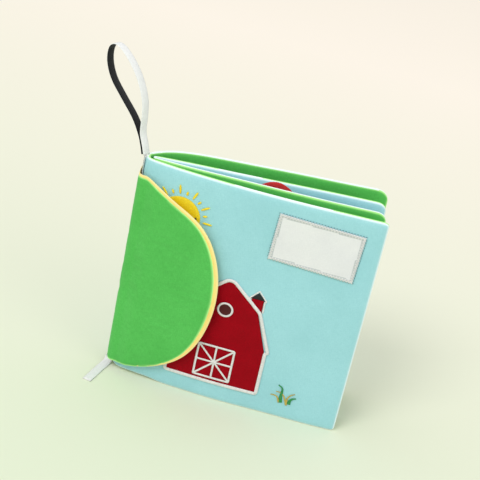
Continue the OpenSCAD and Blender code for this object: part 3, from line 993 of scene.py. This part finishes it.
for piece, slotName, node in (
        (sunDisc, "sun_thread", "sun_disc"), (sunRays, "sun_thread", "sun_rays"),
        (sunEye, "black_thread", "sun_eye")):
    onLeaf(piece, slotName, node)
print("sun sewn on")


# Label, left bare, with a zigzag of stitches over its edge
label = {"x": foreX - 41, "z": 132.0, "width": 56.0, "height": 33.5, "turn": -2.7, "pitch": 1.9,
         "stitch": 2.3, "footShadeLength": 0.5}


def onLabel(x, z):
    a = math.radians(label["turn"])
    return (label["x"] + x * math.cos(a) - z * math.sin(a),
            label["z"] + x * math.sin(a) + z * math.cos(a))


halfW, halfH = label["width"] / 2, label["height"] / 2
# Its grey border under the whip stitches is painted shade between the threads
labelPatch = patch("labelPatch", [onLabel(*p) for p in (
    (-halfW, -halfH), (halfW, -halfH), (halfW, halfH), (-halfW, halfH))], 0.6, onFront,
    [labelCloth, labelEdgeShade], cell=0.8, dome=0.8, turn=label["turn"], borderWidth=label["stitch"])
whips, footShades = [], []
corners = [(-halfW, -halfH), (halfW, -halfH), (halfW, halfH), (-halfW, halfH)]
for a, b in zip(corners, corners[1:] + corners[:1]):
    start, end = Vector(a), Vector(b)
    way = (end - start).normalized()
    inward = Vector((-way.y, way.x))
    count = round((end - start).length / label["pitch"])
    for k in range(count):
        foot = start.lerp(end, k / count) - inward * 0.35
        head = start.lerp(end, (k + 0.5) / count) + inward * (label["stitch"] - 0.35)
        nextFoot = start.lerp(end, (k + 1) / count) - inward * 0.35
        whips += [(onLabel(*foot), onLabel(*head)), (onLabel(*head), onLabel(*nextFoot))]
        # Beside each stitch foot a short dark-blue spindle: painted shade where the thread goes into
        # the cloth
        shadeTip = foot - inward * label["footShadeLength"]
        footShades.append((onLabel(*foot), onLabel(*shadeTip)))
labelStitching = stitches("labelStitching", [(whips, 0.75), (footShades, 0.12)], 0.42, onFront,
                          [whiteThread, stitchFootShade])
onLeaf(labelPatch, "label_cloth", "label_patch")
onLeaf(labelStitching, "white_thread", "label_stitching")


# Grass: blades from foot to tip, measured from the middle of the tuft
grass = {
    "x": foreX - 38,
    "z": 11.0,
    "dark": [
        [(-1.8, 1.7), (-2.4, 6.3), (-2.2, 10.8), (-2.9, 13.2), (-5.5, 14.7)],
        [(4.0, 1.9), (4.2, 4.6), (5.7, 6.6), (8.0, 7.6)],
    ],
    "light": [
        [(2.4, 0.6), (0.6, 5.0), (-0.6, 7.3), (-3.2, 9.2), (-6.1, 9.2)],
        [(2.4, 0.6), (2.2, 5.6), (3.8, 8.7), (6.6, 10.6)],
        [(-2.9, 1.3), (-4.2, 4.6), (-6.1, 6.1), (-9.4, 6.0)],
    ],
}


def blades(chains):
    tuft = Vector((grass["x"], grass["z"]))
    return [[tuple(tuft + p) for p in smoothLine([Vector(q) for q in chain], 3)] for chain in chains]


grassDark = bands("grassDark", blades(grass["dark"]), 2.6, 0.75, onFront, [grassGreen],
                  taper=lambda t: 1 - 0.75 * t, step=0.7)
grassLight = bands("grassLight", blades(grass["light"]), 1.4, 0.6, onFront, [grassOchre],
                   taper=lambda t: 1 - 0.6 * t, step=0.7)
onLeaf(grassDark, "grass_green_thread", "grass_dark")
onLeaf(grassLight, "grass_ochre_thread", "grass_light")

# Round patch on the inner page
disc = {"x": 83.2, "z": 143.0, "radius": 16.0}
pageDisc = patch("pageDisc", circlePoints(disc["x"], disc["z"], disc["radius"], 40), 0.6,
                 onBackPage, [redFelt], cell=1.3)
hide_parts("page_disc")
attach(pageDisc, "book_spine")
print("label, grass and page patch sewn on")


# Flap
flap = {
    "reach": 62.0, "height": 146.0, "middle": 79.0, "lift": 3.5, "bandX": -4.55, "turnR": 3.4,
    "rows": 56, "columns": 40, "bandColumns": 8,
}
turnX = flap["bandX"] + flap["turnR"]


def flapY(x):
    stand = (4.4 / 2 + 2.6 / 2 + 0.3 + (2 * 0.7 + 0.4) * smooth(x / 10)
             + flap["lift"] * (max(0.0, x) / flap["reach"]) ** 2)
    return frontY(max(x, book["hingeX"])) - stand


turnY = flapY(turnX) + flap["turnR"]
flapLine = PlanLine(
    [(flap["bandX"], 5.5), (flap["bandX"], 2.5), (flap["bandX"], 0.0)]
    + arcOf((turnX, turnY), flap["turnR"], 180, 264, 12)
    + walk(turnX, flap["reach"] + 0.5, 1.5, flapY))
flapStart = flapLine.lengthTo(lambda p: p.x >= 0)
flapReach = flapLine.lengthTo(lambda p: p.x >= flap["reach"]) - flapStart


def flapSpot(i, b, edge):
    # Column i and share b from -1 to 1 of the height give the length and height on the flat flap
    bandCount = flap["bandColumns"]
    top = flap["height"] / 2 - edge["top"]
    bottom = flap["height"] / 2 - edge["bottom"]
    tall = top if b > 0 else bottom
    reach = flapReach - edge["reach"]
    if i <= bandCount:
        full = flapFullness(90 if b > 0 else -90)
        return flapStart * i / bandCount, flap["middle"] + b * tall * full
    a = (i - bandCount) / flap["columns"]
    out, up = a * math.sqrt(1 - b * b / 2), b * math.sqrt(1 - a * a / 2)
    full = flapFullness(math.degrees(math.atan2(up, out)))
    return flapStart + reach * out * full, flap["middle"] + tall * up * full


def flapFullness(angle):
    # How far the outline lies from a half ellipse: flatter above, fuller below
    flat = 0.095 * math.exp(-((angle - 67) / 22) ** 2)
    full = 0.03 * math.exp(-((angle + 40) / 20) ** 2)
    return 1 - flat + full


def flapPiece(name, materials, edge, over, under, rim):
    # A closed shell of the flap between two offsets; the outward side is to the line's right
    columns = flap["bandColumns"] + flap["columns"]
    rows = flap["rows"]
    bm = slabOf(columns, rows)
    uvLayer = bm.loops.layers.uv.new("UVMap")
    rimLayer = bm.verts.layers.float.new("seamRim")
    for vertex in bm.verts:
        i, j, side = round(vertex.co.x), round(vertex.co.y), vertex.co.z
        b = math.sin(math.pi / 2 * (2 * j / rows - 1)) * 0.35 + 0.65 * (2 * j / rows - 1)
        bandCount = flap["bandColumns"]
        if i > bandCount:
            t = (i - bandCount) / flap["columns"]
            i = bandCount + flap["columns"] * (0.65 * t + 0.35 * math.sin(math.pi / 2 * t))
        s, z = flapSpot(i, b, edge)
        tall = (flap["height"] / 2 - (edge["top"] if b > 0 else edge["bottom"]))
        shareA = max(0.0, s - flapStart) / (flapReach - edge["reach"])
        shareB = (z - flap["middle"]) / tall
        full = flapFullness(math.degrees(math.atan2(shareB, max(shareA, 1e-6))))
        radius = math.sqrt(shareA ** 2 + shareB ** 2) / full
        inward = (1 - radius) * (tall if shareA < 0.3 else (flapReach - edge["reach"]))
        point, right = flapLine.at(s)
        offset = over(inward) if side > 0.5 else under(inward) if side < -0.5 else rim
        thin = 0.45 + 0.55 * smooth((s - flapStart) / 12)
        bulge = 0.35 * smooth((120 - z) / 60) * math.exp(-((s - flapStart - 3) / 6) ** 2)
        wave = 0.5 * smooth((s - flapStart - 8) / 30) * waver(point.x, 0, z, 26, 31.0)
        place = point + right * (offset * thin + bulge + wave)
        # Nearness to the seam: holds the seam during the swelling and masks the painted seam highlight
        vertex[rimLayer] = 1 - smooth(inward / 1.4)
        vertex.co = Vector((place.x, place.y, z)) * mm
    for face in bm.faces:
        for loop in face.loops:
            co = loop.vert.co
            loop[uvLayer].uv = (co.x + 0.35 * co.y, co.z)
    bm.normal_update()
    return finishPiece(bm, name, materials)


def roundTo(inward, width):
    return math.sqrt(1 - (1 - max(0.0, min(1.0, inward / width))) ** 2)


flapCloth = flapPiece(
    "flapCloth", [greenCloth], {"reach": 4.6, "top": 2.4, "bottom": 1.0},
    over=lambda d: 0.45 + 0.8 * roundTo(d, 4.0),
    under=lambda d: 0.18,
    rim=0.3)
flapLining = flapPiece(
    "flapLining", [yellowCloth], {"reach": 1.6, "top": 0.6, "bottom": 1.4},
    over=lambda d: 0.05 + 0.75 * math.exp(-((d - 1.3) / 1.5) ** 2),
    under=lambda d: -0.3 - 0.8 * roundTo(d, 3.0),
    rim=0.1)
flapSwelling = {"pressure": 2.0, "slack": 0.012, "hold": 0.3, "grip": 0.6, "cap": 0.6}
swell(flapCloth, flapSwelling)
subdivided(flapCloth)
subdivided(flapLining)
print("flap made")


# Ribbon
ribbon = {
    "width": 6.0, "thick": 0.8, "x": -3.2, "yaw": 35.0, "rise": 62.0, "base": 159.8,
    "tail": 31.0, "tailWay": -108.0, "sides": 10,
}
loopShares = [
    (0.012, 0), (-0.03, 0.1), (-0.085, 0.22), (-0.1, 0.4), (-0.14, 0.58), (-0.27, 0.78),
    (-0.45, 0.93), (-0.6, 0.99), (-0.69, 0.93), (-0.69, 0.78), (-0.6, 0.62), (-0.43, 0.48),
    (-0.23, 0.33), (-0.11, 0.19), (-0.05, 0.08), (-0.018, 0)]


def ribbonPiece(name, stations, facings, materials):
    # Woven ribbon along stations (point, across); facings picks the material by the side
    count, sides = len(stations) - 1, ribbon["sides"]
    bm = bmesh.new()
    bmesh.ops.create_grid(bm, x_segments=count, y_segments=sides, size=0.5)
    bmesh.ops.scale(bm, vec=(count, sides, 1), verts=bm.verts)
    bmesh.ops.translate(bm, vec=(count / 2, sides / 2, 0), verts=bm.verts)
    marks = [0.0]
    for a, b in zip(stations, stations[1:]):
        marks.append(marks[-1] + (b[0] - a[0]).length)
    uvLayer = bm.loops.layers.uv.new("UVMap")
    section = []
    for k in range(sides):
        angle = 2 * math.pi * (k + 0.5) / sides
        squash = 1 / max(abs(math.cos(angle)), abs(math.sin(angle)) * 1.0)
        wide = max(-1.0, min(1.0, math.cos(angle) * squash))
        deep = max(-1.0, min(1.0, math.sin(angle) * squash))
        section.append((wide, deep * (0.55 if abs(wide) > 0.99 else 1.0)))
    section.append(section[0])
    for face in bm.faces:
        middle = face.calc_center_median().y
        wide, deep = section[int(middle)][0], section[int(middle)][1] + section[int(middle) + 1][1]
        face.material_index = 0 if deep * facings > 0.05 else 1
        for loop in face.loops:
            i, k = round(loop.vert.co.x), round(loop.vert.co.y)
            loop[uvLayer].uv = (marks[i] * mm, section[k][0] * ribbon["width"] / 2 * mm)
    for vertex in bm.verts:
        i, k = round(vertex.co.x), round(vertex.co.y)
        point, across = stations[i]
        back, ahead = stations[max(i - 1, 0)][0], stations[min(i + 1, count)][0]
        way = (ahead - back).normalized()
        flatways = (across - way * across.dot(way)).normalized()
        normal = way.cross(flatways)
        wide, deep = section[k]
        place = point + flatways * wide * ribbon["width"] / 2 + normal * deep * ribbon["thick"] / 2
        vertex.co = place * mm
    bmesh.ops.remove_doubles(bm, verts=bm.verts, dist=1e-7)
    loose = [e for e in bm.edges if e.is_boundary]
    bmesh.ops.holes_fill(bm, edges=loose, sides=0)
    bmesh.ops.recalc_face_normals(bm, faces=bm.faces)
    return finishPiece(bm, name, materials)


yaw = math.radians(ribbon["yaw"])
sideways = Vector((math.cos(yaw), -math.sin(yaw), 0))
broad = Vector((math.sin(yaw), math.cos(yaw), 0))
loopStations = []
for point in smoothLine([Vector(p) * ribbon["rise"] for p in loopShares], 4):
    spot = Vector((ribbon["x"], 0, ribbon["base"])) + sideways * point.x + Vector((0, 0, point.y))
    loopStations.append((spot, broad))
ribbonLoop = ribbonPiece("ribbonLoop", loopStations, 1, [ribbonBlack, ribbonWhite])

runStations = []
for k in range(41):
    runStations.append((Vector((ribbon["x"], 0, 159.6 - 149.6 * k / 40)), Vector((0, 1, 0))))
tailWay = Vector((math.cos(math.radians(ribbon["tailWay"])),
                  math.sin(math.radians(ribbon["tailWay"])), 0))
tailAcross = Vector((-tailWay.y, tailWay.x, 0)) * -1
lowTurn = smoothLine([
    Vector((ribbon["x"], 0, 10.0)), Vector((ribbon["x"] - 0.1, -0.1, 6.0)),
    Vector((ribbon["x"] - 0.4, -0.8, 2.6)), Vector((ribbon["x"] - 1.1, -2.6, 0.95)),
    Vector((ribbon["x"] - 2.0, -5.2, 0.6)), Vector((-3.8, 0, 0.5)) + tailWay * 12,
    Vector((-3.8, 0, 0.5)) + tailWay * 20, Vector((-3.8, 0, 0.5)) + tailWay * 31], 4)
for k, spot in enumerate(lowTurn[1:]):
    share = smooth((10.0 - spot.z) / 8.5)
    runStations.append((spot, Vector((0, 1, 0)).lerp(-tailAcross, share).normalized()))
ribbonRun = ribbonPiece("ribbonRun", runStations, -1, [ribbonBlack, ribbonWhite])
print("ribbon made")


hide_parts("front_cover", "front_cover_lining", "spine")
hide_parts("back_cover", "back_cover_lining", "spine_lining")
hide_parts("pages", "pages_facing")
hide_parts("flap", "flap_band")
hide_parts("flap_lining")
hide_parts("ribbon_loop")
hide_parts("ribbon_run", "ribbon_tail")
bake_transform(frontCover)
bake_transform(backCover)
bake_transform(flapCloth)
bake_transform(flapLining)
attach(pageSheet, "book_spine")
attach(ribbonLoop, "book_spine")
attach(ribbonRun, "book_spine")


# Floor and light
stageSetup = {
    "floor": 6.0,
    "top": (247, 239, 226),
    "bottom": (216, 227, 200),
    "near": -0.28,
    "far": 0.75,
    "lift": 0.09,
    "world": 0.8,
}


def makeFloor(setup):
    bm = bmesh.new()
    bmesh.ops.create_grid(bm, x_segments=2, y_segments=2, size=setup["floor"] / 2)
    floor = finishPiece(bm, "floor", [])
    material, tree, shader = startMaterial("paleFloor")
    place = addNode(tree, "ShaderNodeTexCoord")
    roll = math.radians(cameraSetup["roll"])
    down = addNode(tree, "ShaderNodeVectorMath",
                   {0: place.outputs["Object"], 1: (math.sin(roll), math.cos(roll), 0)},
                   operation="DOT_PRODUCT")
    share = addNode(tree, "ShaderNodeMapRange",
                    {"Value": down.outputs["Value"], "From Min": setup["near"],
                     "From Max": setup["far"]})
    tint = mixColours(tree, share.outputs[0], linear(setup["bottom"]), linear(setup["top"]))
    tree.links.new(tint, shader.inputs["Base Color"])
    tree.links.new(tint, shader.inputs["Emission Color"])
    # The floor also glows for the camera, more towards the far side: painted light brightening the
    # backdrop
    seen = addNode(tree, "ShaderNodeLightPath").outputs["Is Camera Ray"]
    lift = calc(tree, "MULTIPLY", share.outputs[0], setup["lift"])
    tree.links.new(calc(tree, "MULTIPLY", lift, seen), shader.inputs["Emission Strength"])
    shader.inputs["Roughness"].default_value = 1.0
    shader.inputs["Specular IOR Level"].default_value = 0.0
    floor.data.materials.append(material)
    return floor


def addLamp(name, place, aim, size, power, colour=(1, 1, 1)):
    data = bpy.data.lights.new(name, "AREA")
    data.shape = "DISK"
    data.size = size
    data.energy = power
    data.color = colour
    lamp = bpy.data.objects.new(name, data)
    scene.collection.objects.link(lamp)
    lamp.location = place
    lamp.rotation_euler = (Vector(aim) - Vector(place)).to_track_quat("-Z", "Y").to_euler()


def makeWorld(setup):
    # Even studio light; the camera itself sees the floor's far tone
    world = bpy.data.worlds.new("studio")
    world.use_nodes = True
    tree = world.node_tree
    seen = addNode(tree, "ShaderNodeLightPath").outputs["Is Camera Ray"]
    glow = [setup["world"]] * 3 + [1.0]
    tint = mixColours(tree, seen, glow, linear(setup["top"]))
    tree.links.new(tint, tree.nodes["Background"].inputs["Color"])
    scene.world = world


makeFloor(stageSetup)
addLamp("softKey", (-0.7, -1.2, 1.8), (0.07, 0, 0.08), 1.0, 18)
addLamp("softFill", (1.5, -1.2, 1.0), (0.07, 0, 0.08), 1.6, 5)
makeWorld(stageSetup)
scene.view_settings.view_transform = "Standard"
